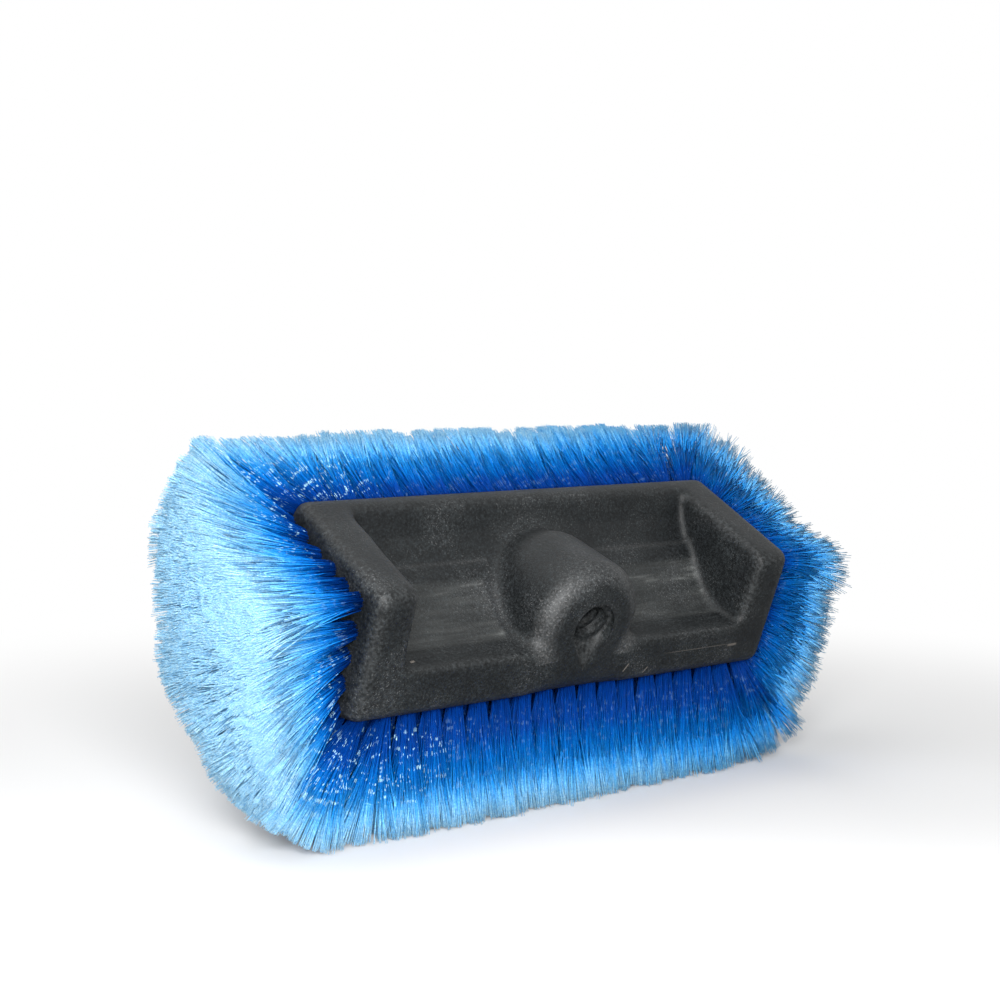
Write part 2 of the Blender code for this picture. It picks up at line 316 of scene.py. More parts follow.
def makeBoss():
    profile = [(0, boss["radius"])]
    for step in range(1, boss["domeSteps"] + 1):
        angle = math.radians(90 * step / boss["domeSteps"])
        profile.append((boss["radius"] * math.sin(angle), boss["radius"] * math.cos(angle)))
    front = boss["rounding"] - boss["domeBack"]
    for step in range(boss["roundingSteps"] + 1):
        angle = math.radians(90 * step / boss["roundingSteps"])
        out = boss["radius"] - boss["rounding"] * (1 - math.cos(angle))
        profile.append((out, front - boss["rounding"] * math.sin(angle)))
    profile.append((0, -boss["domeBack"]))
    dome = turnedSolid("boss", profile, boss["stepsAround"])
    axis = outward(boss["tilt"])
    dome.matrix_world = along(-axis, boreMouth() - axis * (boss["domeBack"] - boss["proud"]))
    settle(dome)
    bpy.ops.object.mode_set(mode="EDIT")
    cutOff((0, (block["depth"] - boss["cover"]) * mm, 0), (0, 1, 0))  # it ends short of the main side
    bpy.ops.object.mode_set(mode="OBJECT")
    return dome


def makeRod(name, profile, tilt, depth):
    rod = turnedSolid(name, profile, bore["stepsAround"])
    axis = outward(tilt)
    rod.matrix_world = along(axis, boreMouth() - axis * depth)
    settle(rod)
    return rod


def makeMouthCutter():
    # the wider mouth, with a relief for the pole that narrows to a point near the bottom edge
    radius, depth, chamfer = bore["mouthRadius"], bore["mouthDepth"], bore["mouthChamfer"]
    profile = [(0, 0), (radius - chamfer, 0), (radius, chamfer)]
    profile += [(radius, depth + bore["reach"]), (0, depth + bore["reach"])]
    cutter = makeRod("mouthCutter", profile, bore["mouthTilt"], depth)
    point = bottom + (ridge - bottom).normalized() * bore["reliefEnd"]
    bpy.ops.object.mode_set(mode="EDIT")
    bpy.ops.mesh.select_all(action="DESELECT")
    bpy.ops.mesh.primitive_plane_add(size=mm, location=Vector((0, *point)) * mm)
    bpy.ops.mesh.merge(type="CENTER")
    bpy.ops.mesh.select_all(action="SELECT")
    bpy.ops.mesh.convex_hull()
    bpy.ops.object.mode_set(mode="OBJECT")
    return cutter


def makeBoreCutter():
    # the thread's grooves, one for each pitch, up to the wider mouth
    radius, pitch, groove = bore["radius"], bore["threadPitch"], bore["threadDepth"]
    rise, crest, fall = bore["threadShape"]
    threadEnd = bore["depth"] - bore["mouthDepth"]
    profile = [(0, 0), (radius - groove, 0)]
    height = bore["threadStart"]
    while height + pitch < threadEnd:
        profile += [(radius - groove, height), (radius, height + rise * pitch)]
        profile += [(radius, height + crest * pitch), (radius - groove, height + fall * pitch)]
        height += pitch
    profile += [(radius, threadEnd - bore["threadRunOut"]), (radius, bore["depth"] + bore["reach"])]
    profile.append((0, bore["depth"] + bore["reach"]))
    return makeRod("boreCutter", profile, bore["tilt"], bore["depth"])


def surfaceTree(piece):
    mesh = piece.data
    return BVHTree.FromPolygons([v.co for v in mesh.vertices], [list(p.vertices) for p in mesh.polygons])


def soften(piece, steps, group=""):
    pick(piece)
    bpy.ops.object.modifier_add(type="SMOOTH")
    smooth = piece.modifiers[-1]
    smooth.factor = 0.5
    smooth.iterations = steps
    smooth.vertex_group = group
    bpy.ops.object.modifier_apply(modifier=smooth.name)


def remesh(piece, size):
    pick(piece)
    bpy.ops.object.modifier_add(type="REMESH")
    grid = piece.modifiers[-1]
    grid.mode = "VOXEL"
    grid.voxel_size = size * mm
    bpy.ops.object.modifier_apply(modifier=grid.name)


def markFillet(piece, bodyTree, bossTree):
    # the band along the joint of the boss and the tray, where both surfaces are near
    band = piece.vertex_groups.new(name="fillet")
    reach = block["filletReach"] * mm
    for vertex in piece.data.vertices:
        distance = max(tree.find_nearest(vertex.co)[3] for tree in (bodyTree, bossTree))
        if distance < reach:
            band.add([vertex.index], min(1, block["filletFull"] * (1 - distance / reach)), "REPLACE")


def markRim(piece):
    # the band along the tray's opening: its top rim, the two walls and the lip
    lines = []
    for side in (-1, 1):
        corners = []
        for point in (rimEdge, ridge, lipEdge):
            out = wallInside - (point.x + block["ridgeOut"]) * math.tan(math.radians(block["wallDraft"]))
            corners.append(np.array((side * out, *point)) * mm)
        lines += [(corners[0], corners[1]), (corners[1], corners[2])]
    lines += [(lines[0][0], lines[2][0]), (lines[1][1], lines[3][1])]
    places = readVertices(piece.data)
    nearest = np.full(len(places), 1.0)
    for start, end in lines:
        way = end - start
        share = np.clip((places - start) @ way / (way @ way), 0, 1)
        nearest = np.minimum(nearest, np.linalg.norm(places - start - share[:, None] * way, axis=1))
    band = piece.vertex_groups.new(name="rim")
    reach = block["rimReach"] * mm
    for index in np.flatnonzero(nearest < reach):
        weight = min(1, block["rimFull"] * (1 - float(nearest[index]) / reach))
        band.add([int(index)], weight, "REPLACE")


def markWear(piece):
    # how far each vertex stands out from its neighbourhood, for the plastic's rubbed edges
    mesh = piece.data
    count = len(mesh.vertices)
    edges = np.empty(2 * len(mesh.edges), dtype=np.int32)
    mesh.edges.foreach_get("vertices", edges)
    a, b = edges.reshape(-1, 2).T
    places = readVertices(mesh)
    normals = readVertices(mesh, "normal")
    links = np.bincount(a, minlength=count) + np.bincount(b, minlength=count)

    def neighbours(values):
        total = np.zeros_like(values)
        np.add.at(total, a, values[b])
        np.add.at(total, b, values[a])
        return total / np.maximum(links, 1).reshape(-1, *[1] * (values.ndim - 1))

    around = places
    for _ in range(block["wearReach"]):
        around = neighbours(around)
    height = np.einsum("ij,ij->i", places - around, normals) / mm
    for _ in range(block["wearSmoothing"]):
        height = neighbours(height)
    writeAttribute(mesh, "wear", height)
    print("wear marked")


def markPanels(piece):
    # how much a vertex belongs to the tray's two rubbed panels
    x, y, z = readVertices(piece.data).T / mm

    def within(value, low, high):
        fade = block["panelFade"]
        return np.clip((value - low) / fade, 0, 1) * np.clip((high - value) / fade, 0, 1)

    mask = within(np.abs(x), block["panelStart"], panelEnd)
    mask = mask * within(z, block["panelBottom"], block["panelTop"])
    mask = mask * (y > block["panelFront"]) * (y < block["panelBack"])
    writeAttribute(piece.data, "panel", mask)


def markPaintedSheen(piece):
    # a painted sheen: pale highlights painted along the ledge and round the boss's front edge
    places = readVertices(piece.data) / mm
    x, y, z = places.T
    crest = block["trayFloor"][2][1] + block["crestUp"]
    onLedge = np.clip(1 - np.abs(z - crest) / block["crestWidth"], 0, 1) * (np.abs(y) < block["crestDepth"])
    onLedge = onLedge * (np.abs(x) > boss["radius"]) * (np.abs(x) < wallInside)
    axis = np.array(outward(boss["tilt"]))
    front = np.array(boreMouth()) + axis * boss["proud"]
    height = (places - front) @ axis
    across = np.linalg.norm(places - front - height[:, None] * axis, axis=1)
    inside = boss["rounding"] * boss["sheenInset"]
    away = np.hypot(height + inside, across - (boss["radius"] - inside))
    onRim = np.clip(boss["sheenFull"] * (1 - away / boss["sheenWidth"]), 0, 1)
    flank = boss["sheenOnTop"] + boss["sheenOnFlanks"] * np.abs(x) / boss["radius"]
    onRim = onRim * np.clip(flank, 0, 1) * (z > boss["sheenLowest"])
    writeAttribute(piece.data, "paintedSheen", np.maximum(block["crestSheen"] * onLedge, onRim))


def toRow(piece):
    piece.matrix_world = blockPlace @ piece.matrix_world
    settle(piece)


def makeBlock():
    body = makeBody()
    combine(body, makeTrayCutter(), "DIFFERENCE")
    for side in (-1, 1):
        combine(body, makePanelCutter(side), "DIFFERENCE")
    dome = makeBoss()
    bodyTree, bossTree = surfaceTree(body), surfaceTree(dome)
    combine(body, dome, "UNION")
    print("block joined:", len(body.data.polygons), "faces")
    remesh(body, block["voxel"])
    markFillet(body, bodyTree, bossTree)
    soften(body, block["softening"])
    soften(body, block["filletSoftening"], "fillet")
    markRim(body)
    soften(body, block["rimSoftening"], "rim")
    body.vertex_groups.clear()
    markWear(body)
    markPanels(body)
    markPaintedSheen(body)
    combine(body, makeMouthCutter(), "DIFFERENCE")
    combine(body, makeBoreCutter(), "DIFFERENCE")
    pick(body)
    bpy.ops.object.shade_smooth_by_angle(angle=math.radians(block["smoothAngle"]))
    body.name = "brushBlock"
    body.data.name = "brushBlock"
    toRow(body)
    print("block done:", sum(len(p.vertices) - 2 for p in body.data.polygons), "triangles")
    return body


# Bristles. Each end, the upper side and the other sides have a look of their own: how early the bristles
# turn pale, how pale their tips are, how raggedly they are cut, the clumps in a tuft, and how much the
# height varies at which they split. The first two are partly painted light: the left end and the upper
# side are painted paler, as lit, and the right end darker, as shaded
bristles = {
    "left": (0.45, 0.95, 0.9, 22, 0.42),
    "right": (0.66, 0.86, 0.8, 12, 0.3),
    "top": (0.78, 0.88, 3.0, 9, 0.34),
    "other": (1, 0.9, 1.5, 14, 0.24),
    "longRows": 2,
    "rows": 6,
    "endLines": 4,
    "trim": 54,
    "topTrim": 49.5,
    "longest": 58.5,
    "endLongest": 63,
    "longestCut": 5,
    "boxRoom": 0.8,
    "boxGap": 0.2,
    "topCornerCut": 20.5,
    "grazing": 0.05,
    "firstRow": 8,
    "tuftPitch": 13.2,
    "rowPitch": 13,
    "endTuftPitch": 12.7,
    "endMargin": 7.2,
    "edgeRoom": 5.2,
    "backRoom": 5.5,
    "frontInset": (12.5, 15),
    "tuftJitter": 0.35,
    "tuftRadius": 3.9,
    "endTuftRadius": 4.4,
    "opening": 1.6,
    "tipSpread": 8.4,
    "endTipSpread": 10.2,
    "cornerSpread": 1.3,
    "cornerRoom": 14,
    "frontSpread": 0.45,
    "lowFrontSpread": 0.25,
    "firstLine": 0.7,
    "firstLineFade": 0.25,
    "fanDepth": 30,
    "fanEnd": 21,
    "endFanHeight": 8,
    "endFanBack": 5,
    "frontKeep": (0.42, 0.3),
    "cornerFan": 1.3,
    "frontDepth": 42,
    "frontFull": 1.3,
    "frontLean": 8,
    "frontShort": 3.5,
    "lowFrontShort": 11,
    "filaments": 275,
    "mainFilaments": 235,
    "sunk": 2,
    "bend": 1.0,
    "lean": 0.045,
    "clumpPull": 0.2,
    "endClumpPull": 0.02,
    "stray": 0.35,
    # the long rows' tips painted darker towards the right end, as shaded: where it starts, how far it runs,
    # how much
    "fadeStart": 10,
    "fadeRun": 80,
    "paintedShadeRight": 0.12,
    # painted glints on the crimps: strongest towards the left end and its corners, fading from there
    "glintStart": 60,
    "glintHeight": 8,
    "glintFade": 30,
    "leastGlint": 0.15,
    "glintPlaces": 500,
    "seed": 41,
}
# its heights are shares of the bristle's length, and its widths but the first are in radii
filament = {
    "radius": 0.18,
    "sides": 3,
    "segments": 2,
    "split": 0.7,
    "overlap": 0.03,
    "hairs": 2,
    "hairOut": 0.4,
    "hairRadius": 1.05,
    "tipRadius": 0.75,
    "hairSpread": 3.2,
}


def makeFilament():
    # a shaft whose end is split into finer hairs. Z runs from its root, 0, to its tip, 1
    deselect()
    sides, split = filament["sides"], filament["split"]
    bpy.ops.mesh.primitive_cylinder_add(vertices=sides, radius=1, depth=split, location=(0, 0, split / 2))
    shaft = bpy.context.object
    bpy.ops.object.mode_set(mode="EDIT")
    selectEdges(shaft, lambda edge: abs(edge.verts[0].co.z - edge.verts[1].co.z) > split / 2)
    bpy.ops.mesh.subdivide(number_cuts=filament["segments"] - 1)
    bpy.ops.object.mode_set(mode="OBJECT")
    hairs = []
    for number in range(filament["hairs"]):
        angle = math.tau * number / filament["hairs"]
        out = Vector((math.cos(angle), math.sin(angle), 0))
        start = split - filament["overlap"]
        deselect()
        bpy.ops.mesh.primitive_cone_add(
            vertices=sides, radius1=filament["hairRadius"], radius2=filament["tipRadius"], depth=1 - start,
            location=out * filament["hairOut"] + Vector((0, 0, (1 + start) / 2)),
        )
        hair = bpy.context.object
        bpy.ops.object.mode_set(mode="EDIT")
        bpy.ops.mesh.select_all(action="DESELECT")
        mesh = bmesh.from_edit_mesh(hair.data)
        for vertex in mesh.verts:
            vertex.select_set(vertex.co.z > 0)
        bmesh.update_edit_mesh(hair.data)
        bpy.ops.transform.translate(value=out * filament["hairSpread"])
        bpy.ops.object.mode_set(mode="OBJECT")
        hairs.append(hair)
    pick(shaft)
    for hair in hairs:
        hair.select_set(True)
    bpy.ops.object.join()
    settle(shaft)
    shaft.name = "filament"
    return shaft


def evenPlaces(length, pitch):
    count = max(2, round(length / pitch) + 1)
    return [length * (i / (count - 1) - 0.5) for i in range(count)]


def longFan(roots):
    # away from a flat core inside the block
    normal = Vector((math.sin(sideTilt), math.cos(sideTilt)))
    slope = Vector((normal.y, -normal.x))
    core = top + slope * bristles["firstRow"] - normal * bristles["fanDepth"]
    reach = blockEnd - bristles["endMargin"] - bristles["fanEnd"]
    near = np.stack([
        np.clip(roots[:, 0], -reach, reach),
        np.full(len(roots), core.x),
        np.clip(roots[:, 2], -core.y, core.y),
    ], axis=1)
    return roots - near


def endFan(roots):
    # nearly straight out in front, spreading up, down and back
    reach = blockEnd - bristles["fanDepth"]
    core = np.clip(roots[:, 2], -bristles["endFanHeight"], bristles["endFanHeight"])
    keep = np.where(roots[:, 2] > ridge.y, *bristles["frontKeep"]) * nearFront(roots)
    keep = keep * (1 - bristles["cornerFan"] * ((roots[:, 2] - core) / half) ** 2)
    leanBack = bristles["frontLean"] * nearFront(roots) * np.abs(roots[:, 2] - ridge.y) / half
    near = np.stack([
        np.sign(roots[:, 0]) * reach,
        np.minimum(roots[:, 1], bristles["endFanBack"]) - leanBack,
        core + (roots[:, 2] - core) * keep,
    ], axis=1)
    return roots - near


def nearFront(roots):
    # 1 at an end's front edges, falling to 0 further in
    inside = []
    for edge in (top, bottom):
        way = (edge - ridge).normalized()
        inside.append(np.abs((roots[:, 1] - ridge.x) * way.y - (roots[:, 2] - ridge.y) * way.x))
    return np.clip(bristles["frontFull"] - np.minimum(*inside) / bristles["frontDepth"], 0, 1)


def unit(vectors):
    return vectors / np.linalg.norm(vectors, axis=1, keepdims=True)


def trimPlanes():
    # the planes that the bristles are cut at, each as its normal and its distance from the block's middle
    side = half * math.cos(sideTilt)
    end = blockEnd + bristles["trim"]
    highest = (cadBox[1][2] - blockPlace.translation.z) / mm - bristles["boxRoom"]
    diagonal = math.sqrt(0.5)
    corner = (end + side + bristles["topTrim"]) * diagonal - bristles["topCornerCut"]
    rise, back = math.cos(sideTilt) * diagonal, math.sin(sideTilt) * diagonal
    return [
        ((0, -math.sin(sideTilt), math.cos(sideTilt)), highest),
        ((diagonal, back, rise), corner),
        ((-diagonal, back, rise), corner),
        ((0, math.sin(sideTilt), math.cos(sideTilt)), side + bristles["topTrim"]),
        ((0, math.sin(sideTilt), -math.cos(sideTilt)), side + bristles["trim"]),
        ((0, 1, 0), block["depth"] + bristles["trim"]),
        ((1, 0, 0), end),
        ((-1, 0, 0), end),
    ]


def trimmedLength(roots, ways, onEnd):
    longest = np.full(len(roots), float(bristles["endLongest" if onEnd else "longest"]))
    for normal, distance in trimPlanes():
        slope = ways @ np.array(normal)
        room = (distance - roots @ np.array(normal)) / np.maximum(slope, bristles["grazing"])
        longest = np.where(slope > bristles["grazing"], np.minimum(longest, room), longest)
    return longest


def rowHeight(row):
    return ((bristles["rows"] - 1) / 2 - row) * bristles["rowPitch"]


def rowTufts():
    # each row's node with its tufts' places, its face's normal and its fan
    rows = {}
    slope = (backTop - top).normalized()
    for side, edge, flip in (("top", top, 1), ("bottom", bottom, -1)):
        for row in range(bristles["longRows"]):
            inwards = bristles["firstRow"] + row * bristles["rowPitch"]
            point = Vector((edge.x, flip * edge.y)) + slope * inwards
            normal = Vector((0, math.sin(sideTilt), flip * math.cos(sideTilt)))
            rows[f"bristles_{side}_{row + 1}"] = (Vector((0, point.x, flip * point.y)), normal)
    for row in range(bristles["rows"]):
        rows[f"bristles_main_{row + 1}"] = (Vector((0, block["depth"], rowHeight(row))), Vector((0, 1, 0)))
    made = {}
    places = evenPlaces(block["length"] - 2 * bristles["endMargin"], bristles["tuftPitch"])
    for name, (middle, normal) in rows.items():
        made[name] = ([middle + Vector((x, 0, 0)) for x in places], normal, longFan)
    for side, sign in (("left", -1), ("right", 1)):
        for row in range(bristles["rows"]):
            made[f"bristles_{side}_{row + 1}"] = ([], Vector((sign, 0, 0)), endFan)
        for y, z in endTufts():
            row = min(range(bristles["rows"]), key=lambda i: abs(z - rowHeight(i)))
            made[f"bristles_{side}_{row + 1}"][0].append(Vector((sign * blockEnd, y, z)))
    return made


def endTufts():
    # nested lines of tufts that follow the two front edges of an end
    upper, lower = (top - ridge).normalized(), (bottom - ridge).normalized()
    inUpper, inLower = Vector((upper.y, -upper.x)), Vector((-lower.y, lower.x))
    pitch, found = bristles["endTuftPitch"], []
    for line in range(bristles["endLines"]):
        insetUpper, insetLower = (inset + line * bristles["rowPitch"] for inset in bristles["frontInset"])
        across = Matrix((inUpper, inLower)).inverted() @ Vector((insetUpper, insetLower))
        apex = ridge + across
        found.append((apex.x, apex.y))
        for way, flip in ((upper, 1), (lower, -1)):
            # how far the line runs before it comes too near the long side, or the back
            room = half - flip * apex.y - apex.x * math.tan(sideTilt) - bristles["edgeRoom"]
            length = room / (flip * way.y + way.x * math.tan(sideTilt))
            length = min(length, (block["depth"] - bristles["backRoom"] - apex.x) / way.x)
            count = round(length / pitch)
            for step in range(1, count + 1):
                point = apex + way * (length * step / count)
                found.append((point.x, point.y))
    return found


def outOver(edge):
    # the way out over one of an end's two front edges
    way = np.array((0, -abs(edge.y - ridge.y), math.copysign(edge.x - ridge.x, edge.y)))
    return way / np.linalg.norm(way)


def tipOffsets(middle, square, sideways, across, onEnd):
    # where each tip goes from its tuft's middle: held in at the front, and further out at the block's corners
    reach = bristles["endTipSpread" if onEnd else "tipSpread"]
    offsets = (sideways * square[:, :1] + across * square[:, 1:]) * reach
    upper = middle[2] > ridge.y
    spread = bristles["frontSpread" if upper else "lowFrontSpread"]
    if onEnd:
        out = outOver(top if upper else bottom)
        beyond = np.maximum(offsets @ out, 0)[:, None] * out
        inFront = nearFront(middle[None]) - bristles["firstLine"]
        firstLine = np.clip(inFront / bristles["firstLineFade"], 0, 1)
        offsets -= beyond * (1 - spread) * firstLine
    elif abs(middle[2]) > half - bristles["rowPitch"]:
        offsets[:, 1] = np.where(offsets[:, 1] < 0, offsets[:, 1] * spread, offsets[:, 1])
    for axis, edge in ((0, blockEnd), (2, half)):
        outside = (edge - abs(middle[axis]) < bristles["cornerRoom"]) & (offsets[:, axis] * middle[axis] > 0)
        offsets[:, axis] = np.where(outside, offsets[:, axis] * bristles["cornerSpread"], offsets[:, axis])
    return offsets


def makeTuft(tuft, axes, fan, count, look, strandPoints, rng):
    # the places of one tuft's vertices, with the values that their colours are read from
    # the first two are partly painted light: paler on the sides that are lit most, darker on the shaded right
    # end
    paleness, tipTone, ragged, clumps, splitVaries = look
    sideways, across = axes
    onEnd = fan is endFan
    tuftRadius = bristles["endTuftRadius" if onEnd else "tuftRadius"]
    middle = np.array(tuft) + (sideways * rng.normal() + across * rng.normal()) * bristles["tuftJitter"]
    # a filament stands in the tuft's round hole, and its tip goes to its own spot in the tuft's square
    square = rng.uniform(-1, 1, (count, 2))
    least = 0.001
    widest = np.maximum(np.abs(square).max(axis=1), least)
    disc = square * (widest / np.maximum(np.linalg.norm(square, axis=1), least))[:, None]
    roots = middle + (sideways * disc[:, :1] + across * disc[:, 1:]) * tuftRadius
    spots = middle + tipOffsets(middle, square, sideways, across, onEnd)
    ways = unit(unit(fan(spots)) * bristles["trim"] + spots - roots)
    ways = unit(ways + rng.normal(0, bristles["lean"], (count, 3)))
    length = trimmedLength(roots, ways, onEnd)
    if onEnd:
        low = np.clip((ridge.y - roots[:, 2]) / half, 0, 1)
        frontCut = (bristles["frontShort"] + bristles["lowFrontShort"] * low) * nearFront(roots)
        length = np.minimum(length, bristles["endLongest"] - frontCut)
    # tips gather in clumps, each cut a little shorter or longer
    tips = roots + ways * length[:, None]
    seeds = rng.choice(count, clumps, replace=False)
    nearest = np.linalg.norm(tips[:, None] - tips[seeds][None], axis=2).argmin(axis=1)
    pull = (tips[seeds][nearest] - tips) * bristles["endClumpPull" if onEnd else "clumpPull"]
    clumpCut = np.abs(rng.normal(0, ragged, clumps))[nearest]
    cut = clumpCut + np.abs(rng.normal(0, bristles["stray"], count))
    length = length - np.minimum(cut, bristles["longestCut"])
    u = unit(np.cross(ways, sideways + 0.3 * across))  # any way that no bristle runs along
    v = np.cross(ways, u)
    turn = rng.uniform(0, math.tau, count)
    u, v = (u * np.cos(turn)[:, None] + v * np.sin(turn)[:, None],
            v * np.cos(turn)[:, None] - u * np.sin(turn)[:, None])
    bend = rng.normal(0, bristles["bend"], count)
    sunkRoots = roots - ways * bristles["sunk"]
    run = length + bristles["sunk"]
    t = strandPoints[:, 2] ** np.exp(rng.normal(0, splitVaries, count))[:, None]
    # the tuft leaves its hole as one bundle, and opens towards its tips
    bundle = unit(fan(middle[None]))
    centre = sunkRoots[:, None] + bundle[:, None] * (run[:, None] * t)[..., None]
    opened = (ways - bundle) * run[:, None]
    centre += opened[:, None] * (t ** bristles["opening"])[..., None]
    centre += u[:, None] * (bend[:, None] * t * (1 - t) * 4)[..., None]
    centre += pull[:, None] * (t ** 2)[..., None]
    thick = strandPoints[None] * filament["radius"]
    section = u[:, None] * thick[..., :1] + v[:, None] * thick[..., 1:2]
    # painted shade: the long rows' tips are painted darker towards the block's right end, where less light
    # falls
    shadedTowardsRight = 0 if onEnd else np.clip((middle[0] - bristles["fadeStart"]) / bristles["fadeRun"], 0, 1)
    tone = tipTone * (1 - bristles["paintedShadeRight"] * shadedTowardsRight)
    # where a vertex is across its tuft and along its bristle, in millimetres, for the flecks and the painted
    # glints on the crimps
    strandPlace = np.empty((*t.shape, 3))
    strandPlace[:, :, 0] = (disc[:, :1] + disc[:, 1:]) * tuftRadius
    strandPlace[:, :, 1] = run[:, None] * t
    strandPlace[:, :, 2] = rng.uniform(0, bristles["glintPlaces"])
    # painted highlights: the bundles next to the block's left end and corners get the strongest painted
    # glints on their crimps
    fade = bristles["glintFade"]
    nearEnd = (-middle[0] - bristles["glintStart"]) / fade
    nearCorner = (abs(middle[2]) - bristles["glintHeight"]) / fade if onEnd else nearEnd
    return {
        "places": (centre + section).reshape(-1, 3),
        "along": (tone * t ** paleness).ravel(),
        "strandPlace": strandPlace.reshape(-1, 3),
        "glint": np.full(t.size, np.clip(min(nearEnd, nearCorner), bristles["leastGlint"], 1)),
        "tone": np.repeat(rng.uniform(0, 1, count), len(strandPoints)),
    }


def joinRow(name, values, strand, copies):
    # one mesh for a row: the strand's faces again for each bristle, kept inside the solids' box
    turn = np.array(blockPlace)
    points = (values["places"] * mm) @ turn[:3, :3].T + turn[:3, 3]
    gap = bristles["boxGap"] * mm
    points = np.clip(points, np.array(cadBox[0]) + gap, np.array(cadBox[1]) - gap)
    heights = readVertices(strand.data)[:, 2]
    faces = [list(face.vertices) for face in strand.data.polygons]
    rounded = [np.ptp(heights[face]) > 0.01 for face in faces]  # the sides, not the flat ends
    corners = np.concatenate(faces)
    loops = (corners[None] + np.arange(copies)[:, None] * len(heights)).ravel()
    sizes = np.tile(np.array([len(face) for face in faces]), copies)
    mesh = bpy.data.meshes.new(name)
    mesh.vertices.add(len(points))
    mesh.vertices.foreach_set("co", points.ravel())
    mesh.loops.add(len(loops))
    mesh.loops.foreach_set("vertex_index", loops.astype(np.int32))
    mesh.polygons.add(len(sizes))
    mesh.polygons.foreach_set("loop_start", np.concatenate([[0], np.cumsum(sizes)[:-1]]).astype(np.int32))
    mesh.polygons.foreach_set("use_smooth", np.tile(rounded, copies))
    for attribute in ("along", "tone", "glint"):
        writeAttribute(mesh, attribute, values[attribute])
    made = mesh.attributes.new("strandPlace", "FLOAT_VECTOR", "POINT")
    made.data.foreach_set("vector", values["strandPlace"].astype(np.float32).ravel())
    mesh.update()
    mesh.validate()
    piece = bpy.data.objects.new(name, mesh)
    bpy.context.scene.collection.objects.link(piece)
    return piece


def makeRow(name, tufts, normal, fan, strand, rng):
    normal = np.array(normal)
    onEnd = fan is endFan
    facing = "left" if normal[0] < 0 else "right" if onEnd else "top" if normal[2] > 0.5 else "other"
    sideways = np.array((0, 1.0, 0)) if onEnd else np.array((1.0, 0, 0))
    axes = (sideways, np.cross(normal, sideways))
    count = bristles["mainFilaments" if normal[1] > 0.9 else "filaments"]
    strandPoints = readVertices(strand.data)
    made = [makeTuft(tuft, axes, fan, count, bristles[facing], strandPoints, rng) for tuft in tufts]
    values = {key: np.concatenate([tuft[key] for tuft in made]) for key in made[0]}
    return joinRow(name, values, strand, len(tufts) * count)


def nodes(name):
    made = bpy.data.materials.new(name)
    made.use_nodes = True
    return made, made.node_tree, made.node_tree.nodes["Principled BSDF"]


def link(tree, source, target):
    tree.links.new(source, target)


def noiseNode(tree, where, scale, detail=4, stretch=None):
    if stretch:
        mapping = tree.nodes.new("ShaderNodeMapping")
        mapping.inputs["Scale"].default_value = stretch
        link(tree, where, mapping.inputs["Vector"])
        where = mapping.outputs["Vector"]
    made = tree.nodes.new("ShaderNodeTexNoise")
    made.inputs["Scale"].default_value = scale
    made.inputs["Detail"].default_value = detail
    link(tree, where, made.inputs["Vector"])
    return made.outputs["Fac"]


def ramp(tree, value, stops):
    made = tree.nodes.new("ShaderNodeValToRGB")
    elements = made.color_ramp.elements
    while len(elements) < len(stops):
        elements.new(0.5)
    for element, (place, colour) in zip(elements, stops):
        element.position = place
        element.color = (*colour, 1)
    link(tree, value, made.inputs["Fac"])
    return made.outputs["Color"]


def mathNode(tree, operation, a, b):
    made = tree.nodes.new("ShaderNodeMath")
    made.operation = operation
    for socket, value in zip(made.inputs, (a, b)):
        if isinstance(value, (int, float)):
            socket.default_value = value
        else:
            link(tree, value, socket)
    return made.outputs["Value"]


def mixColour(tree, share, a, b, blend="MIX"):
    made = tree.nodes.new("ShaderNodeMix")
    made.data_type = "RGBA"
    made.blend_type = blend
    for socket, value in zip((made.inputs[0], made.inputs[6], made.inputs[7]), (share, a, b)):
        if isinstance(value, (int, float)):
            socket.default_value = value
        elif isinstance(value, tuple):
            socket.default_value = (*value, 1)
        else:
            link(tree, value, socket)
    return made.outputs[2]


def attributeNode(tree, name):
    made = tree.nodes.new("ShaderNodeAttribute")
    made.attribute_name = name
    return made.outputs["Fac"]


def greys(stops):
    return [(place, (level,) * 3) for place, level in stops]


bristleFinish = {
    # from dark roots to pale tips: partly the split ends' own paleness, partly painted shade at the roots and
    # painted light at the tips
    "colours": [
        (0.0, (0.001, 0.022, 0.16)),
        (0.3, (0.001, 0.055, 0.32)),
        (0.5, (0.003, 0.18, 0.62)),
        (0.63, (0.025, 0.3, 0.74)),
        (0.75, (0.15, 0.5, 0.84)),
        (0.9, (0.36, 0.67, 0.9)),
    ],
    "shift": 0.12,
    "fleckPlaces": 900.0,
    "fleckLength": 1.1,
    # random flecks along each bristle; the brightest, up to half again brighter, are painted sparkle
    "flecksAndSparkle": [(0.3, (0.55, 0.72, 0.88)), (0.5, (0.95, 0.98, 1.0)), (0.66, (1.5, 1.2, 1.05))],
    # painted glints: pale dashes along the bristles near their roots, where light would catch the crimps
    "glintStretch": (1.15, 0.36, 1),
    "glintDashes": [(0.63, 0), (0.67, 1)],
    "glintReach": [(0.1, 0), (0.2, 1), (0.62, 1), (0.78, 0)],
    "glint": 0.8,
    "glintColour": (0.5, 0.86, 1.0),
    "roughness": 0.32,
    "specular": 0.03,
}


